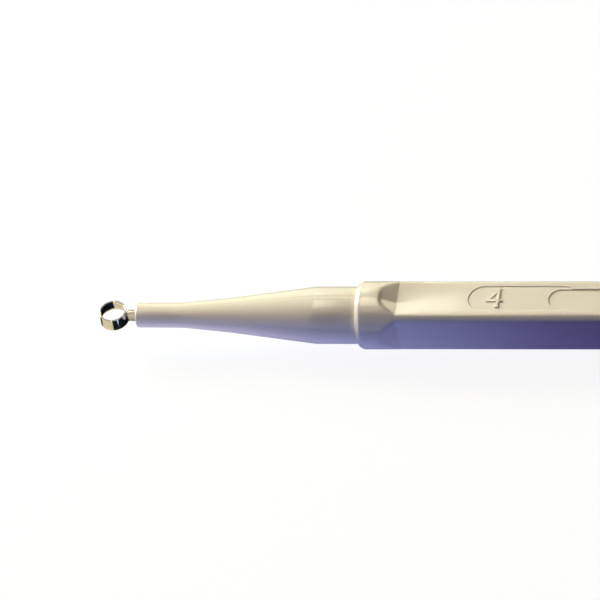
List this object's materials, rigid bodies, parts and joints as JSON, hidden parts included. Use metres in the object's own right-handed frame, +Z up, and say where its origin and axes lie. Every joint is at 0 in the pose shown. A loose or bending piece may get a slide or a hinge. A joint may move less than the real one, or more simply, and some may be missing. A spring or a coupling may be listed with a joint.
{
  "type": "ring curette",
  "caption": "Hand-held ring curette with a rolled steel ring blade, a tapered moulded nose and a square moulded handle with a round collar.",
  "frame": {"origin": "on the resting surface, under the middle of the instrument's length and width", "axes": "+X along the handle away from the ring, +Z up, normal to the recessed face of the handle and along the ring's axis"},
  "size_m": [0.1474, 0.0094, 0.0095],
  "materials": {
    "steel": "polished strip",
    "nose_plastic": "satin ivory moulding",
    "handle_plastic": "satin ivory moulding"
  },
  "bodies": {
    "root": {"blade": "steel", "nose": "nose_plastic", "handle": "handle_plastic"}
  },
  "joints": []
}
